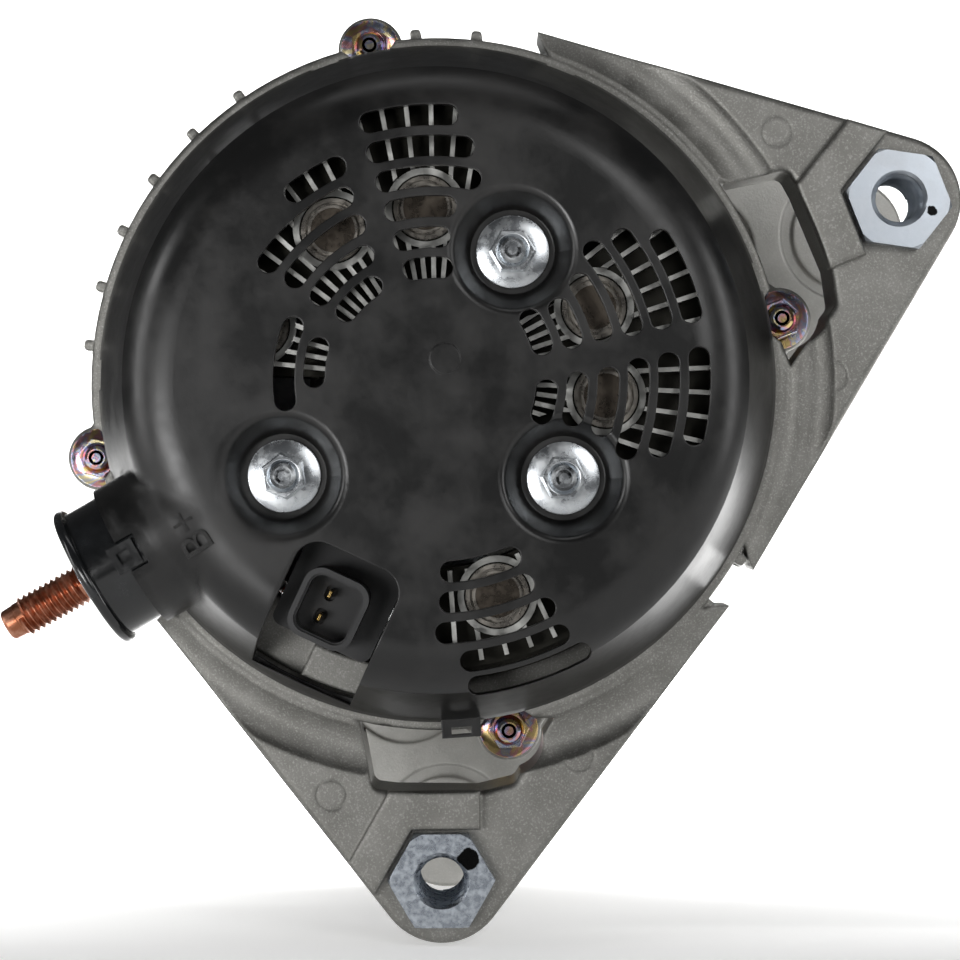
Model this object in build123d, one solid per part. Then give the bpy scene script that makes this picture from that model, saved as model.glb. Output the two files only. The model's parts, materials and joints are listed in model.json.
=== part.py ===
from build123d import *

import os
from math import acos, cos, degrees, radians, sin

# Car alternator, modelled with its shaft along Y.
# The origin is on the shaft axis, in the middle of the pulley's belt track.
# The pulley is at +Y, the covered electrical end at -Y, and +Z is up.
# Angles are counted from +X towards +Z, as seen from the covered end.

# ---- driving dimensions (mm) ----
FIT = 0.05  # radial clearance of a running fit

# stations along the shaft
COVER_FACE = -150.0
COVER_RIM = -122.0
FRAME_RIM = -121.9
EAR_REAR = -121.5
EAR_DEPTH = 20.0
REAR_PLATE = (-120.0, -114.0)
CORE = (-88.0, -50.0)
PILOT = 8.0
FRONT_PLATE = (-27.0, -19.0)
FRONT_EAR = (-37.0, -22.0)

# cover
COVER_WALL = 2.2
COVER_FLAT_R = 51.0
COVER_SHOULDER = (61.6, -144.6)
COVER_LIP_R = 69.0
SLOT_WIDTH = 4.2
COVER_STUDS = ((29.4, 59.1), (35.2, 212.3), (31.6, -37.5))
STUD_R = 2.5
WELL_FLOOR = -143.2

# plug and B+ terminal
PLUG_AT = (49.4, -115.0)
PLUG_SIZE = (13.5, 14.2)
PLUG_RIM = -149.0
PIN_SIDE = -1.1
REGULATOR_TOP = -137.0
TERMINAL_ANGLE = 209.7
TERMINAL_Y = -135.0
INSULATOR_R = 13.55
LATCH_R = 69.6
STUD_SEAT = 80.6
SHANK_R = 4.2

# frames
FRAME_R = 73.3
RIM_R = 70.6
BORE_R = 66.5
CORE_R = 69.6
CORE_BORE_R = 53.6
EAR_REACH = 101.0
EAR_ANGLES = (21.8, -89.5)
EAR_ROOT_R = 75.0
EAR_TIP_R = 13.25
EJECTOR_MARKS = ((69.2, 51.5), (80.5, 1.7), (-21.7, -84.0), (28.8, -75.9))
LUG_R = 74.5
LUG_ANGLES = tuple(101.5 + 90 * k for k in range(4))
WINDOW_ANGLES = tuple(8.6 + 10 * k for k in range(36) if abs((8.6 + 10 * k - 11.5 + 45) % 90 - 45) > 9)

# slip nuts in the rear ears
NUT_AF = 19.0
NUT_HEAD = 3.5
SLEEVE_R = 7.5

# rotor
ROTOR_R = 53.1
POLE_COUNT = 8
SHAFT_R = 8.5
REAR_BEARING = {"bore": 7.5, "outer": 17.5, "y": (-118.0, -107.0), "ball": 2.95, "count": 8}
FRONT_BEARING = {"bore": 8.5, "outer": 23.5, "y": (-38.0, -24.0), "ball": 4.3, "count": 7}
PULLEY_R = 29.0
PULLEY_WIDTH = 26.0

# slip rings and brushes
RING_R = 7.2
RING_STATIONS = (-135.5, -126.5)
BRUSH = (6.0, 4.6, 12.0)

# rectifier
FIN_Y = (-145.0, -138.5)
POSITIVE_Y = (-138.5, -135.5)
NEGATIVE_Y = (-127.0, -124.0)
POSITIVE_DIODES = (
    (34.2, 93.5),
    (36.0, 124.4),
    (34.4, 24.9),
    (33.7, -5.0),
    (44.1, -74.0),
    (37.0, 163.0),
)
NEGATIVE_DIODES = tuple((46.0, angle) for angle in (108.0, 78.0, 40.0, 10.0, -22.0, 140.0))
FIN_HALF = 0.45
DIODE_R = 6.3
DIODE_BOSS_R = 7.9

# slot groups of the cover: row radius, first angle, last angle
COVER_SLOTS = (
    (51.5, -14.4, 7.0), (45.5, -19.4, 6.6), (39.6, -23.0, 6.0), (33.7, -19.0, 4.0), (27.7, -19.0, 3.0),
    (21.8, -23.4, 0.0),
    (51.5, 12.4, 34.0), (45.5, 12.4, 39.4), (39.6, 12.4, 42.0), (33.7, 12.6, 37.0), (27.7, 12.6, 34.0),
    (21.8, 12.6, 37.6),
    (51.5, 85.0, 106.6), (45.5, 80.4, 107.0), (39.6, 77.0, 107.0), (33.7, 83.0, 107.0),
    (27.7, 84.0, 107.0), (21.8, 81.0, 106.6),
    (45.5, 112.6, 129.4), (39.6, 114.0, 148.0), (33.7, 114.0, 147.6), (27.7, 116.0, 148.0),
    (21.8, 119.0, 148.0),
    (29.5, 156.0, 192.0), (23.6, 160.0, 184.0),
    (60.5, -84.0, -60.0), (55.3, -85.0, -62.0), (49.4, -90.0, -62.0), (43.5, -89.0, -64.0),
    (37.6, -88.6, -64.0),
)


# ---- helpers ----
def polar(radius, angle):
    """Point in the plane across the shaft."""
    return (radius * cos(radians(angle)), radius * sin(radians(angle)))


def prism(sketch, rear, front):
    """Sketch drawn across the shaft (X right, Z up) made solid from one station to the other."""
    plane = Plane(origin=(0, front, 0), x_dir=(1, 0, 0), z_dir=(0, -1, 0))
    return extrude(plane * sketch, amount=front - rear)


def disc(radius, rear, front, at=(0, 0)):
    """Cylinder along the shaft direction."""
    return prism(Pos(*at) * Circle(radius), rear, front)


def ring(outer, inner, rear, front, at=(0, 0)):
    """Tube along the shaft direction."""
    return prism(Pos(*at) * (Circle(outer) - Circle(inner)), rear, front)


def turned(*points):
    """Solid turned about the shaft from an outline of (radius, station) points."""
    return revolve(make_face(Polyline(*points, close=True)), Axis.Y, 360)


def about(solid, angle):
    """Solid turned about the shaft, anticlockwise as seen from the covered end."""
    return solid.rotate(Axis.Y, -angle)


def around(solid, count, first=0.0):
    """Copies of a solid, evenly spaced about the shaft."""
    return [about(solid, first + 360 / count * k) for k in range(count)]


def arc_slot(radius, first, last, width):
    """Round-ended slot along an arc about the shaft."""
    cap = degrees(width / 2 / radius)
    return SlotArc(CenterArc((0, 0), radius, first + cap, last - first - 2 * cap), width)


def sector(inner, outer, first, last):
    """Part of a flat ring between two angles."""
    step = (last - first) / 2
    middle = (first + last) / 2
    edges = [
        CenterArc((0, 0), outer, first, last - first),
        Line(polar(outer, last), polar(inner, last)),
        ThreePointArc(polar(inner, last), polar(inner, middle), polar(inner, middle - step)),
        Line(polar(inner, first), polar(outer, first)),
    ]
    return make_face(edges)


def hexagon(across_flats):
    """Hexagon with two flats facing up and down."""
    return RegularPolygon(across_flats / 2, 6, major_radius=False, rotation=0)


def radial(solid, angle, station):
    """Solid drawn along +X from the shaft, turned to an angle and moved to a station."""
    return about(Pos(0, station, 0) * solid, angle)


def rod(radius, start, end):
    """Cylinder along +X."""
    return Plane(origin=(start, 0, 0), z_dir=(1, 0, 0)) * extrude(Circle(radius), amount=end - start)


def save(node, *solids):
    """Writes one node; several solids stay separate."""
    shape = solids[0] if len(solids) == 1 else Compound(children=list(solids))
    export_step(shape, f"parts/{node}.step")


# ---- rear cover ----
def cover_shell(inset):
    """Dome of the cover, drawn inwards by the given amount."""
    face = COVER_FACE + inset
    shoulder_r, shoulder_y = COVER_SHOULDER
    start = (COVER_FLAT_R, face)
    end = (shoulder_r - inset * 0.8, shoulder_y + inset * 0.6)
    side = (COVER_LIP_R - 0.8 - inset, COVER_RIM - 3)
    lines = [
        Line((0, face), start),
        TangentArc(start, end, tangent=(1, 0)),
        Line(end, side),
        Line(side, (COVER_LIP_R - inset, COVER_RIM)),
        Line((COVER_LIP_R - inset, COVER_RIM), (0, COVER_RIM)),
        Line((0, COVER_RIM), (0, face)),
    ]
    return revolve(make_face(lines), Axis.Y, 360)


def well(at, grow, floor):
    """Cone-shaped dimple round a cover nut."""
    depth = floor - COVER_FACE
    cone = Cone(8.3 + grow, 12.0 + grow, depth + 0.2)
    return Pos(at[0], floor - (depth + 0.2) / 2, at[1]) * Rot(90, 0, 0) * cone


def plug_opening():
    """Opening round the plug, straight-sided and rounded at its inner end."""
    across, inner, outer = (-10.2, 11.6), 37.8, 66.4
    blank = Pos((inner + outer) / 2, sum(across) / 2) * Rectangle(outer - inner, across[1] - across[0])
    rounded = fillet(blank.vertices().group_by(Axis.X)[0], 5)
    return Rot(0, 0, PLUG_AT[1]) * rounded


def rear_cover():
    outer = cover_shell(0)
    inner = cover_shell(COVER_WALL)
    shell = outer - inner
    collar = radial(rod(INSULATOR_R + 1.35, 46, 70), TERMINAL_ANGLE, TERMINAL_Y)
    keep = disc(80, COVER_FACE, COVER_RIM)
    shell += (collar & keep) - inner
    for at in [polar(*stud) for stud in COVER_STUDS]:
        shell += well(at, COVER_WALL, WELL_FLOOR + COVER_WALL) & inner
        shell -= well(at, 0, WELL_FLOOR)
        shell -= disc(STUD_R + 0.4, COVER_FACE, COVER_RIM, at)
    mouths = shell.edges().filter_by(GeomType.CIRCLE).filter_by(lambda e: 11.5 < e.radius < 12.5)
    shell = fillet(mouths, 1.8)
    gate = (1.9, 4.0)
    shell += disc(3, COVER_FACE - 0.2, COVER_FACE + 0.5, gate)
    for slot in COVER_SLOTS:
        shell -= prism(arc_slot(*slot, SLOT_WIDTH), COVER_FACE - 1, COVER_RIM - 8)
    shell -= prism(plug_opening(), COVER_FACE - 1, COVER_RIM - 3)
    shell -= radial(rod(INSULATOR_R + 0.6, 60, 90), TERMINAL_ANGLE, TERMINAL_Y)
    shell -= radial(Pos(LATCH_R, -INSULATOR_R, 0) * Box(7, 5, 6.6), TERMINAL_ANGLE, TERMINAL_Y)
    notch = Pos(COVER_LIP_R - 0.6, COVER_RIM - 1, 0) * Box(2.4, 3, 6)
    for angle in (109.5, 178.5, 18.5, 68.5):
        shell -= about(notch, angle)
    tab = Pos(70, -124.2, 0) * Box(4, 1, 8) - Pos(70.6, -124.2, 0) * Box(1.4, 2, 4)
    return shell + about(tab, -86)


def flange_nut(at, face, flats, flange_r, height, bore):
    """Hexagon nut with a round flange, its outer face at the given station."""
    hexa = prism(Pos(*at) * hexagon(flats), face, face + height)
    cone = Rot(90, 0, 0) * Cone(flange_r, flats / 2 - 0.2, 2.5)
    cone = Pos(at[0], face + height - 1.25, at[1]) * cone
    point = Rot(-90, 0, 0) * Cone(flats / 2 + 0.15, flats, height)
    point = Pos(at[0], face + height / 2, at[1]) * point
    return (hexa & point) + cone - disc(bore, face - 1, face + height + 1, at)


def stud(at, rear, front):
    """Plain stud with a chamfered outer end."""
    body = disc(STUD_R, rear, front, at)
    return chamfer(body.edges().group_by(Axis.Y)[0], 0.6)


# ---- plug, regulator and brushes ----
def plug_frame(solid):
    """Puts a solid drawn round the plug's axis, radially along +X, in its place."""
    return about(Pos(PLUG_AT[0], 0, 0) * solid, PLUG_AT[1])


def block(u, y, v):
    """Box between limits: u outwards, y along the shaft, v across."""
    size = [b - a for a, b in (u, y, v)]
    middle = [(a + b) / 2 for a, b in (u, y, v)]
    return Pos(*middle) * Box(*size)


def regulator():
    """Regulator case that the plug's shell stands on."""
    body = block((-14.6, 7.6), (REGULATOR_TOP, -121), (-9.9, 11.3))
    return plug_frame(fillet(body.edges().filter_by(Axis.Y), 2))


def plug_shell():
    """Square shell of the plug, with its floor, pin recesses and two low ribs."""
    across, along = PLUG_SIZE
    shell = prism(RectangleRounded(along, across, 3.6), PLUG_RIM, REGULATOR_TOP)
    for side in (-3.9, 3.9):
        out, up = (along / 2 - 0.5, along / 2 + 0.4), (REGULATOR_TOP - 4, REGULATOR_TOP)
        shell += block(out, up, (side - 0.4, side + 0.4))
    shell -= prism(RectangleRounded(along - 2.8, across - 2.8, 2.4), PLUG_RIM - 1, REGULATOR_TOP - 2)
    shell -= prism(RectangleRounded(along - 2.0, across - 2.0, 2.8), PLUG_RIM - 1, PLUG_RIM + 1.2)
    for pin in (-2.5, 2.5):
        shell -= prism(Pos(pin, PIN_SIDE) * SlotOverall(3.4, 2.4), REGULATOR_TOP - 3, REGULATOR_TOP + 1)
    return plug_frame(shell)


def connector_pins():
    """Two flat pins standing in the plug's shell."""
    pin = block((-0.8, 0.8), (-144, REGULATOR_TOP), (-0.4, 0.4))
    pin = fillet(pin.edges().group_by(Axis.Y)[0], 0.3)
    return [plug_frame(Pos(u, 0, PIN_SIDE) * pin) for u in (-2.5, 2.5)]


def brush_holder():
    """Plastic block that guides both brushes upwards onto the slip rings."""
    body = block((-8.5, 8.5), (-141.5, -121.0), (-34, -9.5))
    along, across = BRUSH[0] / 2 + FIT, BRUSH[1] / 2 + FIT
    for station in RING_STATIONS:
        body -= block((-across, across), (station - along, station + along), (-31.5, -5))
    body -= disc(RING_R + 1.2, -142, -120)
    return body


def brush(station):
    """Carbon block, hollowed to the ring it rubs on."""
    along, across, reach = BRUSH[0] / 2, BRUSH[1] / 2, BRUSH[2]
    top = -RING_R - 0.02
    body = block((-across, across), (station - along, station + along), (top - reach, top + 0.6))
    return body - disc(RING_R + 0.03, station - 5, station + 5)


def brush_spring(station):
    """Plain tube in place of the coil spring behind a brush."""
    low = Plane(origin=(0, station, -31.4), z_dir=(0, 0, 1))
    return extrude(low * (Circle(1.9) - Circle(1.4)), amount=31.4 - RING_R - 0.1 - BRUSH[2])


def slip_rings():
    """Plastic hub on the shaft's end, and the two copper rings on it."""
    hub = turned((4.5, -140.5), (6.0, -140.5), (6.0, -121.4), (4.5, -121.4))
    for station in RING_STATIONS:
        hub += ring(RING_R - 0.6, 4.5, station + 4.0, station + 5.0)
    rings = [ring(RING_R, 6.0, station - 3.9, station + 3.9) for station in RING_STATIONS]
    return hub, rings


# ---- rectifier ----
def sink_outline(inner, outer):
    """C-shaped plate with a lobe beside the brush holder."""
    return sector(inner, outer, -48, 178) + sector(37, outer, -92, -47)


def clear_of(points, radius):
    """Discs about points given as (radius, angle)."""
    return Sketch() + [Pos(*polar(*point)) * Circle(radius) for point in points]


def positive_heat_sink():
    plate = prism(sink_outline(19.5, 57), *POSITIVE_Y)
    fins = []
    for k in range(52):
        angle = -91 + 5.2 * k
        inner = 37.5 if angle < -47 else 20
        fin = block((inner, 55.6), (FIN_Y[0], FIN_Y[1] + 0.1), (-FIN_HALF, FIN_HALF))
        fins.append(about(fin, angle))
    room = clear_of(COVER_STUDS, 13.0) + clear_of(POSITIVE_DIODES, DIODE_BOSS_R)
    room = prism(room, FIN_Y[0] - 1, FIN_Y[1])
    sink = plate + (Compound(children=fins) - room)
    for place in POSITIVE_DIODES:
        face = POSITIVE_Y[0] - 2.6
        sink += ring(DIODE_BOSS_R, DIODE_R + 0.01, face, POSITIVE_Y[0] + 0.5, polar(*place))
        sink -= disc(DIODE_R + 0.35, face - 1, face + 0.8, polar(*place))
        sink -= disc(DIODE_R, FIN_Y[0], POSITIVE_Y[1] + 1, polar(*place))
    for place in COVER_STUDS:
        sink -= disc(4.2, FIN_Y[0], POSITIVE_Y[1] + 1, polar(*place))
    return sink - radial(rod(INSULATOR_R + 1, 40, 90), TERMINAL_ANGLE, TERMINAL_Y)


def diode(place, base, way):
    """Press-fit diode: cup, recessed face and lead, opening towards the way given (+1 or -1)."""
    at = polar(*place)
    cup = disc(DIODE_R, *sorted((base, base + way * 6.4)), at)
    cup -= ring(DIODE_R - 0.8, DIODE_R - 1.4, *sorted((base - way * 0.1, base + way * 1.2)), at)
    cup -= disc(DIODE_R - 1.9, *sorted((base - way * 0.1, base + way * 0.35)), at)
    lead = disc(0.75, *sorted((base + way * 6.3, base + way * 9.0)), at)
    return cup + lead


def negative_heat_sink():
    plate = prism(sink_outline(24, 60), *NEGATIVE_Y)
    for place in NEGATIVE_DIODES:
        plate -= disc(DIODE_R, -130, -122, polar(*place))
    for place in COVER_STUDS:
        plate -= disc(STUD_R + 0.2, -130, -122, polar(*place))
    return plate - radial(rod(INSULATOR_R + 1, 40, 90), TERMINAL_ANGLE, TERMINAL_Y)


def terminal_block():
    """Moulded frame between the heat sinks that carries the diode leads' straps."""
    body = prism(sector(25.5, 41, -40, 176) - clear_of(POSITIVE_DIODES, 8), -133.5, -127.4)
    body -= prism(clear_of(NEGATIVE_DIODES, 8), -134, -127)
    body -= prism(clear_of(COVER_STUDS, 6.2), -134, -127)
    return max(body.solids(), key=lambda solid: solid.volume)


# ---- B+ terminal ----
def terminal_insulator():
    """Black collar round the stud, with its outer flange and the latch that holds it in the cover."""
    barrel = rod(INSULATOR_R, 63.2, 77.5)
    flange = fillet(rod(14.85, 77.2, 79.6).edges().filter_by(GeomType.CIRCLE), 1.1)
    latch = Pos(LATCH_R, 0.2 - INSULATOR_R, 0) * (Box(5.4, 2.4, 5.4) - Box(2.6, 4, 2.4))
    body = barrel + flange - rod(11.4, 70, 82) - rod(8.6, 60, 90) + latch
    return radial(body, TERMINAL_ANGLE, TERMINAL_Y)


def terminal_plate():
    """Silver plate and washer that the stud stands on."""
    body = rod(8.5, 66, STUD_SEAT - 0.2) - rod(SHANK_R, 60, 90)
    return radial(body, TERMINAL_ANGLE, TERMINAL_Y)


def terminal_stud():
    """M8 stud with a plain dog point and a slightly thicker shank in the washer."""
    dog = chamfer(rod(3.2, 95.4, 98.6).edges().group_by(Axis.X)[-1], 0.7)
    body = rod(4.0, 56, 95.5) + rod(SHANK_R, 56, STUD_SEAT) + dog + rod(6.0, 55.5, 60)
    return radial(body, TERMINAL_ANGLE, TERMINAL_Y)


# ---- frames ----
def ear_outline(root, tip):
    """Tip circle and its two tangents to the root circle, along +X."""
    slope = degrees(acos((root - tip) / EAR_REACH))
    corners = []
    for side in (1, -1):
        pair = [polar(root, side * slope)]
        x, y = polar(tip, side * slope)
        pair.append((EAR_REACH + x, y))
        corners += pair if side == 1 else pair[::-1]
    return make_face(Polyline(*corners, close=True)) + Pos(EAR_REACH, 0) * Circle(tip)


def ear_window():
    """Opening between an ear's two arms."""
    corners = ((68.5, 16.5), (82.5, 14), (83.1, 9.5), (83.4, -7.5), (81.6, -15.1), (68.5, -23.3))
    outline = make_face(Polyline(*corners, close=True))
    return fillet(outline.vertices().filter_by(lambda v: v.X > 75), 2)


def nut_guard():
    """Raised block that holds two flats of the slip nut's head."""
    gap = NUT_AF / 2 + 0.8
    thick, corner = 8.0, 0.5 / sin(radians(60))
    near, far = (-gap, gap * corner), (-gap - thick, (gap + thick) * corner)
    slant = (cos(radians(30)), sin(radians(30)))
    reach = 16.0
    tip = (near[0] + reach * slant[0], near[1] + reach * slant[1])
    outer_tip = (tip[0] - thick * slant[1], tip[1] + thick * slant[0])
    corners = ((near[0], -8), near, tip, outer_tip, far, (far[0], -8))
    return Pos(EAR_REACH, 0) * make_face(Polyline(*corners, close=True))


def ear_place(sketch, index):
    """Turns an ear's sketch to its angle; the lower ear is the upper one mirrored."""
    if index == 1:
        sketch = mirror(sketch, Plane.XZ)
    return Rot(0, 0, EAR_ANGLES[index]) * sketch


def rounded_ends(solid, radius):
    """Rounds the edges of a prism's two end faces."""
    ends = solid.faces().filter_by(Axis.Y)
    return fillet(ends.edges(), radius)


def trough():
    """Shallow rounded valley in the ears, round the frame's rim."""
    return revolve(Pos(76.4, EAR_REAR - 5) * Circle(7), Axis.Y, 360)


def ejector_mark(place):
    """Shallow circle left in the casting by an ejector pin."""
    return ring(3.25, 2.85, EAR_REAR - 1, EAR_REAR + 0.25, place)


def rear_ear(index):
    outline = ear_place(ear_outline(EAR_ROOT_R, EAR_TIP_R) - ear_window(), index)
    plate = rounded_ends(prism(outline, EAR_REAR, EAR_REAR + EAR_DEPTH), 1.4)
    guard = prism(ear_place(nut_guard() & ear_outline(EAR_ROOT_R, EAR_TIP_R - 0.6), index),
                  EAR_REAR - NUT_HEAD, EAR_REAR + 1.5)
    guard = fillet(guard.faces().sort_by(Axis.Y)[0].edges(), 0.8)
    plate += guard
    plate -= trough()
    return plate - disc(SLEEVE_R + FIT, -130, -95, polar(EAR_REACH, EAR_ANGLES[index]))


def lug(rear, front):
    """Lug for one of the frame studs, at angle 0."""
    far = LUG_R + 1
    neck = make_face(Polyline(polar(70, -11), (far, -6.8), (far, 6.8), polar(70, 11), close=True))
    return rounded_ends(prism(Pos(LUG_R, 0) * Circle(7) + neck, rear, front), 1.0)


def wall_windows(rear, front, angles, width=6.2):
    """Air outlets through a frame's side wall."""
    cut = block((55, FRAME_R + 0.05), (rear, front), (-width / 2, width / 2))
    return [about(cut, angle) for angle in angles]


def rim_edges(solid):
    """Outer round edges of a plain tube, rear one first."""
    return solid.edges().filter_by(GeomType.CIRCLE).filter_by(lambda e: e.radius > 70).sort_by(Axis.Y)


def rear_frame():
    end = CORE[0] + PILOT
    frame = turned((60, FRAME_RIM), (RIM_R, FRAME_RIM), (FRAME_R, CORE[0]), (FRAME_R, end), (60, end))
    frame = fillet(rim_edges(frame)[0], 0.8)
    frame += disc(62, *REAR_PLATE)
    ribs = ((83.6, 10.0, 2), (124.6, 9.8, 6), (-135.4, 9.0, 1), (-39.2, 9.1, 3), (205.0, 10.0, 1))
    outline = Polyline((69, -120.5), (RIM_R + 2, -120.5), (FRAME_R + 2, -89), (69, -89), close=True)
    rib = extrude(Plane.XY * make_face(outline), amount=1.1, both=True)
    rib = fillet(rib.faces().sort_by(Axis.X)[-1].edges().filter_by(Axis.Z, reverse=True), 0.8)
    for first, step, count in ribs:
        for k in range(count):
            frame += about(rib, first + step * k)
    for index in range(2):
        frame += rear_ear(index)
    for mark in EJECTOR_MARKS:
        frame -= ejector_mark(mark)
    for angle in LUG_ANGLES:
        frame += about(lug(CORE[0], CORE[0] + PILOT), angle)
    frame -= ring(BORE_R, 22, REAR_PLATE[1], CORE[0] + 1)
    frame -= disc(CORE_R + 0.05, CORE[0], 0)
    frame -= disc(BORE_R - 1, -125, REAR_PLATE[0])
    frame += ring(22, 17.5, REAR_PLATE[0], -104)
    frame -= disc(17.5, -118, -100)
    frame -= disc(12.0, -125, -100)
    for k in range(8):
        frame -= prism(sector(26, 54, 45 * k - 16, 45 * k + 16), -125, REAR_PLATE[1] + 1)
    for angle in LUG_ANGLES:
        frame -= disc(STUD_R + 0.25, -95, -70, polar(LUG_R, angle))
        frame -= disc(6.9, -125, CORE[0], polar(LUG_R, angle))
    frame -= radial(rod(INSULATOR_R + 1.8, 60, 90), TERMINAL_ANGLE, TERMINAL_Y)
    for place in COVER_STUDS:
        frame += disc(5.6, NEGATIVE_Y[1], REAR_PLATE[1], polar(*place))
        frame -= disc(STUD_R, -130, REAR_PLATE[1] + 1, polar(*place))
    frame += prism(sector(58.2, 65, -115, -98), -127, REAR_PLATE[1])
    return frame - wall_windows(-111.5, -93, WINDOW_ANGLES)


def front_ear(index):
    """Solid ear with a raised round boss and a stepped web beside it."""
    outline = ear_place(ear_outline(FRAME_R - 0.3, EAR_TIP_R), index)
    plate = rounded_ends(prism(outline, *FRONT_EAR), 1.4)
    web = ear_outline(FRAME_R - 1, EAR_TIP_R - 1.5) - Pos(EAR_REACH, 0) * Circle(15.4)
    web -= Pos(66, 9) * Circle(14.6)
    step = prism(ear_place(web, index), FRONT_EAR[0] - 1.2, FRONT_EAR[0] + 1)
    boss = disc(12.6, FRONT_EAR[0] - 1.5, FRONT_EAR[0] + 1, polar(EAR_REACH, EAR_ANGLES[index]))
    return plate + step + boss


def drive_frame():
    frame = ring(FRAME_R, 60, CORE[1] - PILOT, FRONT_PLATE[1])
    frame = chamfer(rim_edges(frame)[-1], 3.0)
    frame += disc(62, *FRONT_PLATE)
    for index in range(2):
        frame += front_ear(index)
    for angle in LUG_ANGLES:
        frame += about(lug(CORE[1], CORE[1] + 15), angle)
    frame -= ring(BORE_R, 28, CORE[1], FRONT_PLATE[0])
    frame -= disc(CORE_R + 0.05, -100, CORE[1])
    frame += ring(28, 23.5, -38, FRONT_PLATE[1])
    frame -= disc(28.5, -60, -38.0)
    frame -= disc(23.5, -39, -23.8)
    frame -= disc(15.0, -30, 0)
    for k in range(12):
        frame -= prism(sector(33, 58, 30 * k - 10, 30 * k + 10), FRONT_PLATE[0] - 1, 0)
    for angle in LUG_ANGLES:
        frame -= disc(STUD_R, -60, -38, polar(LUG_R, angle))
    for angle in EAR_ANGLES:
        frame -= disc(5.25, -60, 0, polar(EAR_REACH, angle))
    frame -= wall_windows(-47, -39, WINDOW_ANGLES)
    for angle in (45, 135, 225, 315):
        frame += disc(4.2, -38, -25, polar(31.5, angle))
        frame -= disc(1.6, -38.5, -30, polar(31.5, angle))
    return frame


def slip_nut(index):
    """Hexagon-headed sleeve with an M10 thread, which slides in the rear ear."""
    at = polar(EAR_REACH, EAR_ANGLES[index])
    turn = Rot(0, 0, EAR_ANGLES[index] + 90)
    head = prism(Pos(*at) * turn * hexagon(NUT_AF), EAR_REAR - NUT_HEAD, EAR_REAR)
    rim = Pos(at[0], EAR_REAR - NUT_HEAD / 2, at[1]) * Rot(-90, 0, 0) * Cone(10.2, 13.5, NUT_HEAD)
    body = (head & rim) + disc(SLEEVE_R, EAR_REAR - 1, EAR_REAR + EAR_DEPTH - 1, at)
    body -= disc(4.6, -130, -95, at)
    mouth = Pos(at[0], EAR_REAR - NUT_HEAD + 0.5, at[1]) * Rot(90, 0, 0) * Cone(4.6, 5.6, 1.0)
    return body - mouth


# ---- stator ----
def core_slots(inner, outer, width):
    """Forty-eight radial slots as one sketch."""
    one = Pos((inner + outer) / 2, 0) * Rectangle(outer - inner, width)
    return Sketch() + [Rot(0, 0, 7.5 * k) * one for k in range(48)]


def stator_core():
    sheet = Circle(CORE_R) - Circle(CORE_BORE_R) - core_slots(CORE_BORE_R - 1, 65.2, 3.4)
    return prism(sheet, *CORE)


def stator_winding():
    """Hairpins in the slots, with a ring at each end in place of their crossings."""
    bars = prism(core_slots(54.8, 65.0, 3.0), -103, -37)
    return bars + ring(65, 54.8, -101, -91) + ring(65, 54.8, -47.5, -39)


def phase_leads():
    """Winding ends that rise through the rear plate to the rectifier."""
    lead = block((47.4, 49.4), (-122.5, -104.4), (-1, 1))
    lead += block((47.4, 59.4), (-106.4, -104.4), (-1, 1)) + block((57.4, 59.4), (-105, -103), (-1, 1))
    return [about(lead, angle) for angle in (0, 90, 135)]


# ---- rotor ----
def claw(base, tip):
    """One claw at angle 0, from its root station to its tip station."""
    root_half, tip_half = 8.6, 4.0
    corners = ((base, -root_half), (tip, -tip_half), (tip, tip_half), (base, root_half))
    plan = make_face(Polyline(*corners, close=True))
    plane = Plane(origin=(42, 0, 0), x_dir=(0, 1, 0), z_dir=(1, 0, 0))
    finger = extrude(plane * plan, amount=14)
    way = 1 if tip > base else -1
    taper = Polyline((36, base + way * 9), (47.5, tip + way), (36, tip + way), close=True)
    undercut = extrude(Plane.XY * make_face(taper), amount=20, both=True)
    return (finger - undercut) & disc(ROTOR_R, -100, -30)


def claw_pole(base, way, first):
    """Steel half of the rotor: disc, hub and eight claws."""
    middle = (CORE[0] + CORE[1]) / 2
    thick = 10.0
    star = disc(40, *sorted((base, base + way * thick)))
    star += disc(26, *sorted((base, middle)))
    arm = block((20, 44), tuple(sorted((base, base + way * thick))), (-8.6, 8.6))
    for k in range(POLE_COUNT):
        angle = first + 360 / POLE_COUNT * k
        star += about(arm + claw(base, base + way * 35), angle)
        star -= about(disc(5.0, base - 20, base + 20, (41, 0)), angle + 22.5)
    return star - disc(10, -100, -30)


def fan(base, way, count):
    """Pressed fan: flat disc and upright blades, leaning back."""
    plate = ring(46, 12, *sorted((base, base + way * 1.4)))
    blade = block((-8.5, 8.5), tuple(sorted((base + way * 1.3, base + way * 8.6))), (-0.7, 0.7))
    blade = Pos(38.5, 0, 0) * Rot(0, 38 * way, 0) * blade
    return plate + around(blade, count)


def shaft():
    outline = (
        (0, -141), (4.5, -141), (4.5, -121.2), (7.5, -121.2), (7.5, -107), (9.2, -107), (9.2, -90.0),
        (10, -90), (10, -48.6), (9.4, -48.6), (9.4, -38), (SHAFT_R, -38), (SHAFT_R, -13), (8, -13),
        (8, 17), (7.2, 18), (0, 18),
    )
    return turned(*outline) - prism(hexagon(10), 8, 19)


def field_bobbin():
    return turned((26.05, -78), (41.5, -78), (41.5, -76.8), (27.4, -76.8), (27.4, -61.2), (41.5, -61.2),
                  (41.5, -60), (26.05, -60))


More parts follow.
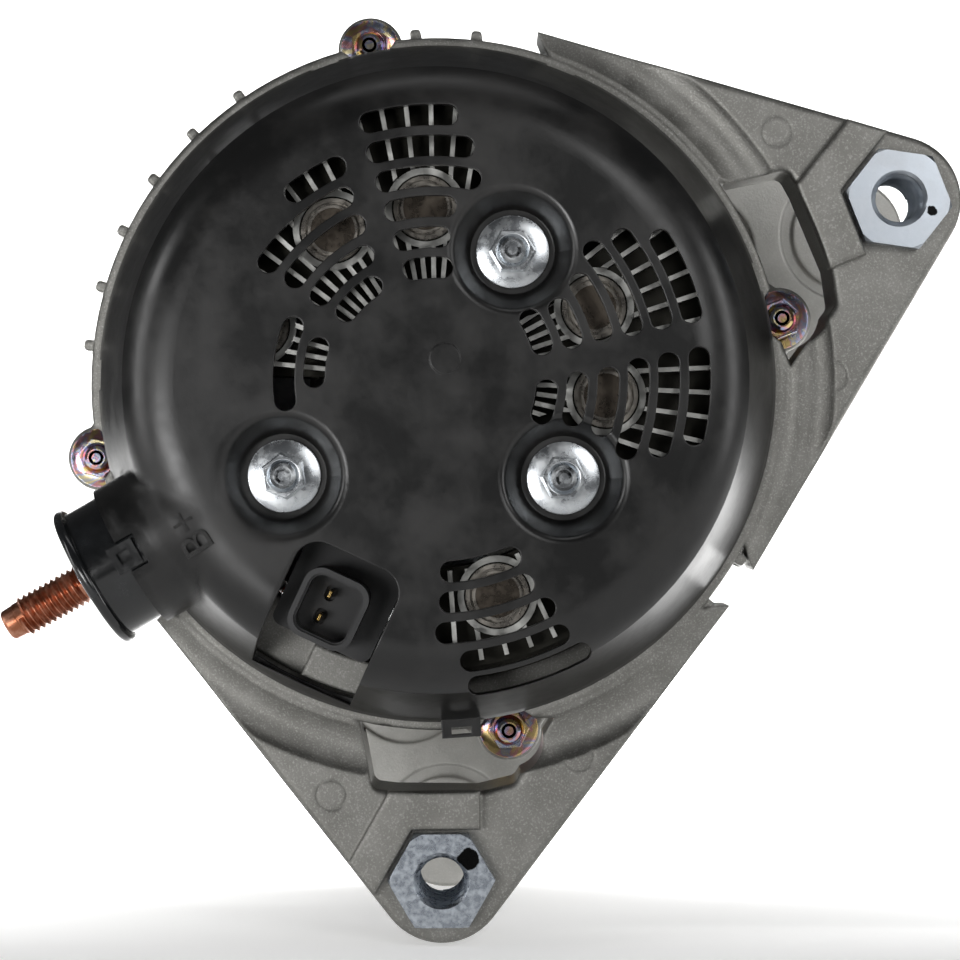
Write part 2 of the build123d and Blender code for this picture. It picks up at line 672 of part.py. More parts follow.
def pulley():
    """Six-groove pulley with a recessed front."""
    pitch, depth, half = 3.56, 2.9, PULLEY_WIDTH / 2
    points = [(8.0, -half), (PULLEY_R, -half), (PULLEY_R, -3 * pitch - 0.5)]
    for k in range(6):
        y = (k - 2.5) * pitch
        flank = pitch / 2 - 0.35
        points += [(PULLEY_R - 1, y - flank), (PULLEY_R - depth, y - 0.5)]
        points += [(PULLEY_R - depth, y + 0.5), (PULLEY_R - 1, y + flank)]
    points += [(PULLEY_R, 3 * pitch + 0.5), (PULLEY_R, half)]
    points += [(23.5, half), (22.5, 2), (14, 2), (14, 4), (8.0, 4)]
    return turned(*points)


def pulley_nut():
    body = prism(hexagon(22), 4, 14) & (Pos(0, 9, 0) * Rot(-90, 0, 0) * Cone(14.5, 11.4, 10))
    return body + ring(13.2, 8, 4, 6.0) - disc(8, 0, 20)


# ---- bearings ----
def bearing(size):
    """Outer ring, inner ring, balls and cage of a deep-groove bearing."""
    rear, front = size["y"]
    middle, ball = (rear + front) / 2, size["ball"]
    pitch = (size["bore"] + size["outer"]) / 2
    groove = Pos(0, middle, 0) * Rot(90, 0, 0) * Torus(pitch, ball + FIT)
    shoulder = ball * 0.42
    outer = ring(size["outer"], pitch + shoulder, rear, front) - groove
    inner = ring(pitch - shoulder, size["bore"], rear, front) - groove
    balls = around(Pos(pitch, middle, 0) * Sphere(ball), size["count"])
    thick, wide = shoulder * 0.6, ball * 1.2
    cage = ring(pitch + thick, pitch - thick, middle - wide, middle + wide)
    pocket = Pos(0, middle, 0) * rod(ball + FIT, pitch - ball, pitch + ball)
    for cut in around(pocket, size["count"]):
        cage -= cut
    return outer, inner, balls, cage


def retainer():
    """Plate that keeps the front bearing in its hub."""
    body = ring(26.5, 14, -40.0, -38.0)
    for angle in (45, 135, 225, 315):
        body += disc(4.6, -40.0, -38.0, polar(31.5, angle))
        body += about(block((24, 31), (-40.0, -38.0), (-4.6, 4.6)), angle)
        body -= disc(1.9, -41, -37, polar(31.5, angle))
    return body


def retainer_screw(angle):
    at = polar(31.5, angle)
    head = fillet(disc(3.2, -41.2, -40.0, at).edges().group_by(Axis.Y)[0], 0.5)
    return head + disc(1.6, -40.5, -31, at)


# ---- everything is written ----
def write_rear_end():
    save("rear_cover", rear_cover())
    save("cover_nuts", *[flange_nut(polar(*s), -148.1, 8.0, 7.2, 4.9, STUD_R) for s in COVER_STUDS])
    save("cover_studs", *[stud(polar(*s), -149.0, -113.5) for s in COVER_STUDS])
    save("regulator", regulator())
    save("plug_shell", plug_shell())
    save("connector_pins", *connector_pins())
    save("brush_holder", brush_holder())
    for name, station in zip(("outer", "inner"), RING_STATIONS):
        save(f"{name}_brush", brush(station))
        save(f"{name}_brush_spring", brush_spring(station))
    save("positive_heat_sink", positive_heat_sink())
    save("positive_diodes", *[diode(p, POSITIVE_Y[0] - 2.9, 1) for p in POSITIVE_DIODES])
    save("negative_heat_sink", negative_heat_sink())
    save("negative_diodes", *[diode(p, NEGATIVE_Y[1] + 0.4, -1) for p in NEGATIVE_DIODES])
    save("terminal_block", terminal_block())
    collar = (6.0, STUD_R, WELL_FLOOR + COVER_WALL, POSITIVE_Y[0])
    collars = [ring(*collar, polar(*s)) for s in COVER_STUDS]
    bushes = [
        ring(4.0, STUD_R, POSITIVE_Y[0], POSITIVE_Y[1], polar(*s))
        + ring(6.0, STUD_R, POSITIVE_Y[1], NEGATIVE_Y[0], polar(*s))
        for s in COVER_STUDS
    ]
    save("stud_collars", *collars)
    save("insulating_bushes", *bushes)
    save("b_plus_insulator", terminal_insulator())
    save("b_plus_washer", terminal_plate())
    save("b_plus_stud", terminal_stud())


def write_frames():
    save("rear_frame", rear_frame())
    save("drive_frame", drive_frame())
    save("frame_studs", *[stud(polar(LUG_R, a), -95.6, -38.2) for a in LUG_ANGLES])
    nuts = [flange_nut(polar(LUG_R, a), CORE[0] - 5, 8.0, 6.3, 5.0, STUD_R) for a in LUG_ANGLES]
    save("frame_stud_nuts", *nuts)
    save("upper_slip_nut", slip_nut(0))
    save("lower_slip_nut", slip_nut(1))
    save("stator_core", stator_core())
    save("stator_winding", stator_winding())
    save("phase_leads", *phase_leads())


def write_rotor():
    hub, rings = slip_rings()
    save("slip_ring_hub", hub)
    save("slip_rings", *rings)
    save("shaft", shaft())
    save("rear_claw_pole", claw_pole(CORE[0], 1, 0))
    save("front_claw_pole", claw_pole(CORE[1], -1, 22.5))
    save("field_bobbin", field_bobbin())
    save("field_coil", ring(40.6, 27.4, -76.8, -61.2))
    save("rear_fan", fan(CORE[0], -1, 11))
    save("front_fan", fan(CORE[1], 1, 13))
    save("pulley_spacer", ring(12, SHAFT_R, -24, -13))
    save("pulley", pulley())
    save("pulley_nut", pulley_nut())


def write_bearings():
    for end, size in (("rear", REAR_BEARING), ("front", FRONT_BEARING)):
        outer, inner, balls, cage = bearing(size)
        save(f"{end}_bearing_outer_ring", outer)
        save(f"{end}_bearing_inner_ring", inner)
        save(f"{end}_bearing_balls", *balls)
        save(f"{end}_bearing_cage", cage)
    save("bearing_retainer", retainer())
    save("retainer_screws", *[retainer_screw(a) for a in (45, 135, 225, 315)])


os.makedirs("parts", exist_ok=True)
write_rear_end()
write_frames()
write_rotor()
write_bearings()
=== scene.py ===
"""Looks of a car alternator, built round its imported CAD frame.

Lengths in the classes are in millimetres and are turned to metres when a mesh is made.
The shaft lies along Y with the pulley at +Y; +Z is up and the covered electrical end faces -Y.
"""

import json
import logging
import math
from dataclasses import dataclass, field
from enum import Enum

import bmesh
import bpy
from mathutils import Matrix, Vector


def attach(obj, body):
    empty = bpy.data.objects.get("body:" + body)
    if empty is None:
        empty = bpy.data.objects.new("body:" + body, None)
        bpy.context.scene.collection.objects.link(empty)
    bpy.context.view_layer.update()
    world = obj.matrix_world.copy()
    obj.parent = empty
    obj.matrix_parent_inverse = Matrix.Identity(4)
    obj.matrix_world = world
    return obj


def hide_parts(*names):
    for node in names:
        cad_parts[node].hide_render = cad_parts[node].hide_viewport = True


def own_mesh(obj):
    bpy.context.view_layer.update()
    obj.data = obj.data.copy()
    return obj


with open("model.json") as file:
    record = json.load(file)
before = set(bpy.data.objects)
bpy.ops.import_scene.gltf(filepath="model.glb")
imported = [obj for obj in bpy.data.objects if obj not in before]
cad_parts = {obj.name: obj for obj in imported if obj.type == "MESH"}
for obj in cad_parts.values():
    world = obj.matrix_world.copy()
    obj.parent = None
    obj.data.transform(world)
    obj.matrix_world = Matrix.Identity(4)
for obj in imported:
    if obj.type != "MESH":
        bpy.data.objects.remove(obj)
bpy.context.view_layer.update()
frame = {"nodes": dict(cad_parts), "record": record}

MM = 0.001
QUARTER_TURN = math.pi / 2
OVERSHOOT = 0.01  # how far outside a face its cutter starts
LEAST_ROUGHNESS = 0.04
BEVEL_SAMPLES = 6
RIDGE_SHARE = 0.92  # how much of the pitch a thread's ridge takes
MIX_FACTOR, MIX_UNDER, MIX_OVER, MIX_RESULT = 0, 6, 7, 2  # a colour Mix node's sockets
log = logging.getLogger("alternator")
Point = tuple[float, float, float]


# ---------------------------------------------------------------- small helpers


def polar(radius: float, angle: float, station: float) -> Point:
    """Point at a radius and an angle (degrees) round the shaft, at a station along it, in millimetres."""
    turn = math.radians(angle)
    return (radius * math.cos(turn), station, radius * math.sin(turn))


def metres(point: Point) -> Vector:
    """The same point in metres."""
    return Vector(point) * MM


def linear(code: str) -> tuple[float, float, float, float]:
    """Turns an sRGB hex colour to linear.

    Args:
        code: six hex digits, red first.

    Returns:
        Red, green, blue and an alpha of 1.
    """
    parts = [int(code[i : i + 2], 16) / 255 for i in (0, 2, 4)]
    red, green, blue = (p / 12.92 if p <= 0.04045 else ((p + 0.055) / 1.055) ** 2.4 for p in parts)
    return (red, green, blue, 1.0)


def add_node(tree: bpy.types.NodeTree, kind: str, settings: dict | None = None, links: dict | None = None,
             **properties: object) -> bpy.types.Node:
    """Adds one shader node.

    Args:
        tree: the material's node tree.
        kind: the node's type name.
        settings: values of its input sockets, by name or number.
        links: outputs that feed its input sockets, by name or number.
        **properties: the node's own properties, such as its blend mode.

    Returns:
        The new node.
    """
    node = tree.nodes.new(kind)
    for name, value in properties.items():
        setattr(node, name, value)
    for socket, value in (settings or {}).items():
        node.inputs[socket].default_value = value
    for socket, output in (links or {}).items():
        tree.links.new(output, node.inputs[socket])
    return node


# ---------------------------------------------------------------- finishes


class Lay(Enum):
    """How a surface's fine marks run."""

    GRAINY = "the same in every direction"
    TURNED = "rings round the shaft"
    STACKED = "thin sheets one behind the other along the shaft"
    RADIAL = "saw lines across the shaft"


@dataclass(frozen=True)
class Finish:
    """One real surface: its colours, shine and fine relief.

    Sizes of patterns are in millimetres. The blotch colour spreads softly over the base colour.
    """

    name: str
    base: str
    blotch: str
    metallic: float
    roughness: float
    blotch_mm: float = 12.0
    blotch_low: float = 0.42
    blotch_high: float = 0.66
    roughness_spread: float = 0.08
    grain_mm: float = 0.5
    grain_depth_mm: float = 0.02
    lay: Lay = Lay.GRAINY
    coat: float = 0.0
    coat_roughness: float = 0.1
    specular: float = 0.5
    edge_mm: float = 0.0

    def stretch(self) -> Point:
        """How much denser the grain is along X, Y and Z."""
        return {
            Lay.GRAINY: (1.0, 1.0, 1.0),
            Lay.TURNED: (0.05, 1.0, 0.05),
            Lay.STACKED: (0.02, 1.0, 0.02),
            Lay.RADIAL: (1.0, 0.08, 1.0),
        }[self.lay]

    def mottle(self, tree: bpy.types.NodeTree, place: bpy.types.NodeSocket) -> bpy.types.NodeSocket:
        """Adds the soft blotches.

        Args:
            tree: the material's node tree.
            place: object coordinates.

        Returns:
            A factor from 0, base colour, to 1, blotch colour.
        """
        clouds = add_node(
            tree, "ShaderNodeTexNoise",
            {"Scale": 1 / (self.blotch_mm * MM), "Detail": 5.0, "Roughness": 0.62}, {"Vector": place},
        )
        spread = add_node(
            tree, "ShaderNodeMapRange",
            {"From Min": self.blotch_low, "From Max": self.blotch_high}, {"Value": clouds.outputs["Fac"]},
        )
        return spread.outputs["Result"]

    def colour(self, tree: bpy.types.NodeTree, place: bpy.types.NodeSocket,
               amount: bpy.types.NodeSocket) -> bpy.types.NodeSocket:
        """Adds the surface's colour.

        Args:
            tree: the material's node tree.
            place: object coordinates.
            amount: the blotches' factor.

        Returns:
            The colour output.
        """
        mix = add_node(
            tree, "ShaderNodeMix", {MIX_UNDER: linear(self.base), MIX_OVER: linear(self.blotch)},
            {MIX_FACTOR: amount}, data_type="RGBA",
        )
        return mix.outputs[MIX_RESULT]

    def relief(self, tree: bpy.types.NodeTree, place: bpy.types.NodeSocket) -> bpy.types.NodeSocket:
        """Adds the fine relief.

        Args:
            tree: the material's node tree.
            place: object coordinates.

        Returns:
            The height output, 0 to 1.
        """
        run = add_node(tree, "ShaderNodeMapping", {"Scale": self.stretch()}, {"Vector": place})
        grain = add_node(
            tree, "ShaderNodeTexNoise",
            {"Scale": 1 / (self.grain_mm * MM), "Detail": 3.0, "Roughness": 0.6},
            {"Vector": run.outputs["Vector"]},
        )
        return grain.outputs["Fac"]

    def spread_edge(self, tree: bpy.types.NodeTree, place: bpy.types.NodeSocket,
                    worn: bpy.types.Node) -> None:
        """Lets a finish vary how round its edges look; the plain one leaves them even.

        Args:
            tree: the material's node tree.
            place: object coordinates.
            worn: the node that rounds the edges.
        """

    def make(self) -> bpy.types.Material:
        """Builds the material.

        Returns:
            The finished material.
        """
        material = bpy.data.materials.new(self.name)
        material.use_nodes = True
        tree = material.node_tree
        tree.nodes.clear()
        place = add_node(tree, "ShaderNodeTexCoord").outputs["Object"]
        amount = self.mottle(tree, place)
        height = self.relief(tree, place)
        rough = add_node(
            tree, "ShaderNodeMapRange",
            {"To Min": max(self.roughness - self.roughness_spread, LEAST_ROUGHNESS),
             "To Max": self.roughness + self.roughness_spread},
            {"Value": amount},
        )
        bump = add_node(tree, "ShaderNodeBump", {"Strength": 1.0, "Distance": self.grain_depth_mm * MM},
                        {"Height": height})
        if self.edge_mm:
            worn = add_node(tree, "ShaderNodeBevel", {"Radius": self.edge_mm * MM}, samples=BEVEL_SAMPLES)
            self.spread_edge(tree, place, worn)
            tree.links.new(worn.outputs["Normal"], bump.inputs["Normal"])
        shader = add_node(
            tree, "ShaderNodeBsdfPrincipled",
            {"Metallic": self.metallic, "Coat Weight": self.coat, "Coat Roughness": self.coat_roughness,
             "Specular IOR Level": self.specular},
            {"Base Color": self.colour(tree, place, amount), "Roughness": rough.outputs["Result"],
             "Normal": bump.outputs["Normal"]},
        )
        add_node(tree, "ShaderNodeOutputMaterial", links={"Surface": shader.outputs["BSDF"]})
        return material


@dataclass(frozen=True)
class BlendFinish(Finish):
    """Moulding whose edges look widely blended near one place, as where a collar runs into a dome."""

    centre: Point = (0.0, 0.0, 0.0)
    reach_mm: float = 20.0
    wide_mm: float = 4.0
    full_share: float = 0.6

    def spread_edge(self, tree: bpy.types.NodeTree, place: bpy.types.NodeSocket,
                    worn: bpy.types.Node) -> None:
        """Widens the rounding towards the centre.

        Args:
            tree: the material's node tree.
            place: object coordinates.
            worn: the node that rounds the edges.
        """
        gap = add_node(tree, "ShaderNodeVectorMath", {1: metres(self.centre)}, {0: place},
                       operation="DISTANCE")
        width = add_node(
            tree, "ShaderNodeMapRange",
            {"From Min": self.reach_mm * MM, "From Max": self.reach_mm * self.full_share * MM,
             "To Min": self.edge_mm * MM, "To Max": self.wide_mm * MM},
            {"Value": gap.outputs["Value"]},
        )
        tree.links.new(width.outputs["Result"], worn.inputs["Radius"])


@dataclass(frozen=True)
class CastFinish(Finish):
    """Shot-blasted casting: fine pitting and scattered bright grains."""

    sparkle: str = "c4c4c0"
    sparkle_mm: float = 0.4
    sparkle_share: float = 0.35

    def colour(self, tree: bpy.types.NodeTree, place: bpy.types.NodeSocket,
               amount: bpy.types.NodeSocket) -> bpy.types.NodeSocket:
        """Adds bright grains to the clouded grey."""
        soft = Finish.colour(self, tree, place, amount)
        grains = add_node(
            tree, "ShaderNodeTexNoise", {"Scale": 1 / (self.sparkle_mm * MM), "Detail": 2.0},
            {"Vector": place},
        )
        picked = add_node(
            tree, "ShaderNodeMapRange",
            {"From Min": 0.52, "From Max": 0.74, "To Max": self.sparkle_share},
            {"Value": grains.outputs["Fac"]},
        )
        mix = add_node(
            tree, "ShaderNodeMix", {MIX_OVER: linear(self.sparkle)},
            {MIX_FACTOR: picked.outputs["Result"], MIX_UNDER: soft}, data_type="RGBA",
        )
        return mix.outputs[MIX_RESULT]


@dataclass(frozen=True)
class RainbowFinish(Finish):
    """Passivated zinc: the film's thickness wanders, so its tint does too."""

    tints: tuple[str, ...] = ("c9b27c", "c88f95", "9aa6c4", "cfc29a")
    film_mm: float = 4.0
    first_stop: float = 0.36
    last_stop: float = 0.64

    def colour(self, tree: bpy.types.NodeTree, place: bpy.types.NodeSocket,
               amount: bpy.types.NodeSocket) -> bpy.types.NodeSocket:
        """Adds the wandering tints."""
        film = add_node(
            tree, "ShaderNodeTexNoise",
            {"Scale": 1 / (self.film_mm * MM), "Detail": 2.0, "Distortion": 1.2}, {"Vector": place},
        )
        ramp = add_node(tree, "ShaderNodeValToRGB", links={"Fac": film.outputs["Fac"]})
        stops = ramp.color_ramp.elements
        while len(stops) < len(self.tints):
            stops.new(0.5)
        reach = self.last_stop - self.first_stop
        for k, tint in enumerate(self.tints):
            stops[k].position = self.first_stop + reach * k / (len(self.tints) - 1)
            stops[k].color = linear(tint)
        return ramp.outputs["Color"]


@dataclass(frozen=True)
class BandFinish(Finish):
    """A finish with another colour between stations along the shaft, such as a sealed recess, or painted
    shade deep between fins.
    """

    band: str = "5d5248"
    bands: tuple[tuple[float, float], ...] = ()

    def colour(self, tree: bpy.types.NodeTree, place: bpy.types.NodeSocket,
               amount: bpy.types.NodeSocket) -> bpy.types.NodeSocket:
        """Adds the bands over the plain colour."""
        colour = Finish.colour(self, tree, place, amount)
        split = add_node(tree, "ShaderNodeSeparateXYZ", links={"Vector": place})
        for start, end in self.bands:
            middle, half = (start + end) / 2 * MM, (end - start) / 2 * MM
            inside = add_node(tree, "ShaderNodeMath", {1: middle, 2: half}, {0: split.outputs["Y"]},
                              operation="COMPARE")
            mix = add_node(
                tree, "ShaderNodeMix", {MIX_OVER: linear(self.band)},
                {MIX_FACTOR: inside.outputs["Value"], MIX_UNDER: colour}, data_type="RGBA",
            )
            colour = mix.outputs[MIX_RESULT]
        return colour


@dataclass(frozen=True)
class DabFinish(Finish):
    """Plated steel with one dab of marking paint on it."""

    paint: str = "121212"
    at: Point = (0.0, 0.0, 0.0)
    radius_mm: float = 1.6
    ragged_mm: float = 1.6
    ragged_grain_mm: float = 1.5
    feather_mm: float = 0.1

    def colour(self, tree: bpy.types.NodeTree, place: bpy.types.NodeSocket,
               amount: bpy.types.NodeSocket) -> bpy.types.NodeSocket:
        """Adds the ragged dab over the plating."""
        plating = Finish.colour(self, tree, place, amount)
        ragged = add_node(
            tree, "ShaderNodeTexNoise",
            {"Scale": 1 / (self.ragged_grain_mm * MM), "Detail": 3.0}, {"Vector": place},
        )
        gap = add_node(tree, "ShaderNodeVectorMath", {1: metres(self.at)}, {0: place},
                       operation="DISTANCE")
        edge = add_node(
            tree, "ShaderNodeMath", {1: self.ragged_mm * MM},
            {0: ragged.outputs["Fac"], 2: gap.outputs["Value"]}, operation="MULTIPLY_ADD",
        )
        limit, feather = (self.radius_mm + self.ragged_mm / 2) * MM, self.feather_mm * MM
        dab = add_node(
            tree, "ShaderNodeMapRange", {"From Min": limit + feather, "From Max": limit - feather},
            {"Value": edge.outputs["Value"]},
        )
        mix = add_node(
            tree, "ShaderNodeMix", {MIX_OVER: linear(self.paint)},
            {MIX_FACTOR: dab.outputs["Result"], MIX_UNDER: plating}, data_type="RGBA",
        )
        return mix.outputs[MIX_RESULT]


EAR_REACH = 101.0
EAR_ANGLES = (21.8, -89.5)
STUD_ANGLE = 209.7
NUT_FACE = -125.0
DIODE_FACE = -141.4
UPPER_DAB = polar(106.3, 19.2, NUT_FACE)
LOWER_DAB = polar(96.6, -86.2, NUT_FACE)

FINISHES: dict[str, Finish] = {
    # Glass-filled nylon, injection moulded: charcoal, satin, with grey flow clouds and a fine grain.
    "cover_plastic": BlendFinish("glass_filled_nylon_moulded", "0d0d0d", "1d1c1b", 0.0, 0.37, 16.0,
                                 0.4, 0.7, 0.09, 0.7, 0.01, edge_mm=0.4,
                                 centre=polar(60.0, STUD_ANGLE, -146.0), reach_mm=27.0),
    # The same nylon inside, less handled: darker and more even.
    "moulded_plastic": Finish("black_nylon_moulded", "1d1d1e", "2a2a2b", 0.0, 0.5, 9.0, grain_mm=0.5,
                              grain_depth_mm=0.012),
    # Polyester moulding from a polished tool: near black and glossy.
    "insulator_plastic": Finish("black_polyester_polished_tool", "0c0d0e", "16181a", 0.0, 0.24, 10.0,
                                grain_mm=1.5, grain_depth_mm=0.006, coat=0.25),
    # Aluminium, pressure die cast and shot blasted: light matt grey with fine pits and bright grains.
    "cast_aluminium": CastFinish("aluminium_die_cast_shot_blasted", "787773", "8b8a86", 1.0, 0.5, 9.0,
                                 0.4, 0.7, 0.05, 0.5, 0.05, edge_mm=1.1),
    # Aluminium, extruded, the fins' sawn edges in the plain light colour; everything deeper than them is
    # painted dark, painted shade between and behind the fins.
    "sheet_aluminium": BandFinish("aluminium_extruded_painted_shade_deep", "b4b4b0", "d2d2ce", 1.0, 0.36, 5.0,
                                  grain_mm=0.4, grain_depth_mm=0.01, lay=Lay.RADIAL, band="34332f",
                                  bands=((-144.9, -141.2), (-141.0, -123.0))),
    # Steel, bright zinc plated: cool silver with a soft mottle.
    "bright_zinc": Finish("steel_bright_zinc_plated", "b9bdc1", "cfd2d4", 1.0, 0.3, 3.0, grain_mm=0.5,
                          grain_depth_mm=0.006),
    # Steel, zinc plated with yellow passivation: silver that wanders between straw, pink and blue.
    "yellow_zinc": RainbowFinish("steel_yellow_passivated", "c9b27c", "cfc29a", 1.0, 0.24, 4.0,
                                 grain_mm=0.6, grain_depth_mm=0.006),
    # Steel, zinc plated with blue passivation: bluish grey.
    "blue_zinc": Finish("steel_blue_passivated", "9ea5ad", "c2c7cc", 1.0, 0.33, 4.0, grain_mm=0.5,
                        grain_depth_mm=0.01),
    # Nickel-plated steel cup, sealed with brown-grey resin behind its rim.
    "diode_steel": BandFinish("diode_cup_nickel_with_resin", "8f8a83", "a09b93", 1.0, 0.34, 2.5,
                              grain_mm=0.4, grain_depth_mm=0.01, band="5b544c",
                              bands=((DIODE_FACE + 0.3, DIODE_FACE + 0.4),)),
    # Brass, stamped and tin-free: clear yellow.
    "contact_brass": Finish("brass_stamped", "c9a45c", "e0c588", 1.0, 0.22, 2.0, grain_mm=0.3,
                            grain_depth_mm=0.004),
    # Steel, rolled thread, copper plated: orange brown with paler crests.
    "copper_plated": Finish("steel_copper_plated", "9c6248", "c39078", 1.0, 0.4, 2.2, grain_mm=0.35,
                            grain_depth_mm=0.01),
    # Copper, drawn and rubbed by the brushes: bright salmon.
    "bare_copper": Finish("copper_drawn", "bd7450", "d99a78", 1.0, 0.28, 3.0, grain_mm=0.3,
                          grain_depth_mm=0.006, lay=Lay.TURNED),
    # Copper wire under clear enamel and dipped varnish: deep orange, wet looking.
    "enamelled_copper": Finish("copper_enamelled_varnished", "8a3f1c", "b4602f", 1.0, 0.3, 3.5,
                               grain_mm=0.8, grain_depth_mm=0.01, coat=0.7, coat_roughness=0.12),
    # Electrical sheet, stamped and stacked, dipped in varnish: dark grey with the sheets' edges showing.
    "lamination_steel": Finish("electrical_sheet_stacked", "4a4b4d", "606264", 1.0, 0.4, 14.0,
                               grain_mm=0.5, grain_depth_mm=0.05, lay=Lay.STACKED, coat=0.3,
                               coat_roughness=0.25),
    # Low-carbon steel, forged and varnished: dark, slightly uneven.
    "pole_steel": Finish("steel_forged_varnished", "55565a", "6d6e70", 1.0, 0.42, 8.0, grain_mm=0.9,
                         grain_depth_mm=0.03),
    # Sheet steel, pressed and zinc plated: even light grey.
    "fan_steel": Finish("sheet_steel_zinc_plated", "9b9ea2", "b6b8ba", 1.0, 0.34, 6.0, grain_mm=0.6,
                        grain_depth_mm=0.008),
    # Steel, turned: fine rings round the shaft.
    "machined_steel": Finish("steel_turned", "9c9c9e", "b4b4b6", 1.0, 0.26, 6.0, grain_mm=0.25,
                             grain_depth_mm=0.01, lay=Lay.TURNED),
    # Bearing steel, hardened and ground: nearly a mirror.
    "bearing_steel": Finish("bearing_steel_ground", "c0c2c6", "cfd1d4", 1.0, 0.12, 6.0,
                            roughness_spread=0.03, grain_mm=0.2, grain_depth_mm=0.002, lay=Lay.TURNED),
    # Natural nylon, moulded: ivory.
    "cage_plastic": Finish("nylon_natural_moulded", "b3a67e", "c6ba94", 0.0, 0.45, 4.0),
    # Copper-carbon, pressed and sintered: dark with a dull brown cast.
    "carbon": Finish("copper_carbon_sintered", "2d2a28", "453a33", 0.2, 0.6, 1.5, grain_mm=0.25,
                     grain_depth_mm=0.02),
    # Spring wire, drawn: plain grey.
    "spring_steel": Finish("spring_wire_drawn", "8d8f91", "a9abad", 1.0, 0.25, 2.0, grain_depth_mm=0.004),
    # Steel, turned and phosphated black: soft dark grey with turning rings.
    "pulley_paint": Finish("steel_turned_phosphated", "26272a", "36373a", 0.75, 0.42, 8.0, grain_mm=0.3,
                           grain_depth_mm=0.02, lay=Lay.TURNED),
}

# Blue zinc again, once for each slip nut, with the inspector's dab of black paint; the upper nut's
# plating is painted lighter and the lower one's darker, painted light and painted shade on one plating.
UPPER_NUT_FINISH = DabFinish("steel_blue_passivated_marked_painted_lit_upper", "a3a9b0", "b7bcc2", 1.0, 0.36, 7.0,
                             grain_mm=0.5, grain_depth_mm=0.008, at=UPPER_DAB, radius_mm=1.0)
LOWER_NUT_FINISH = DabFinish("steel_blue_passivated_marked_painted_shade_lower", "8d939b", "b3b9c0", 1.0, 0.34, 1.3,
                             grain_mm=0.5, grain_depth_mm=0.01, at=LOWER_DAB, radius_mm=2.2)

# The drive frame is the same alloy as the rear frame, painted lighter: painted light standing in for the
# light that falls on it.
NODE_FINISHES: dict[str, Finish] = {
    "drive_frame": CastFinish("aluminium_die_cast_painted_lit", "a9a8a4", "bab9b5", 1.0, 0.52, 9.0,
                              0.4, 0.7, 0.05, 0.5, 0.05, edge_mm=1.1),
}


class Wardrobe:
    """Makes each finish once and puts it on nodes and pieces."""

    def __init__(self) -> None:
        """Starts with nothing made."""
        self.made: dict[str, bpy.types.Material] = {}

    def material(self, finish: Finish) -> bpy.types.Material:
        """The finish's material, made at its first use."""
        if finish.name not in self.made:
            self.made[finish.name] = finish.make()
        return self.made[finish.name]

    def dress(self, piece: bpy.types.Object, finish: Finish) -> None:
        """Gives every face of a piece or CAD node the finish.

        Args:
            piece: the object to dress.
            finish: its surface.
        """
        piece.data.materials.clear()
        piece.data.materials.append(self.material(finish))

    def dress_frame(self) -> None:
        """Dresses every CAD node, by its own finish or by the material slot in the record."""
        for part in frame["record"]["subparts"]:
            node = frame["nodes"][part["node"]]
            self.dress(node, NODE_FINISHES.get(part["node"], FINISHES[part["material_slot"]]))
            log.info("dressed %s as %s", part["node"], part["material_slot"])


# ---------------------------------------------------------------- modelling tools


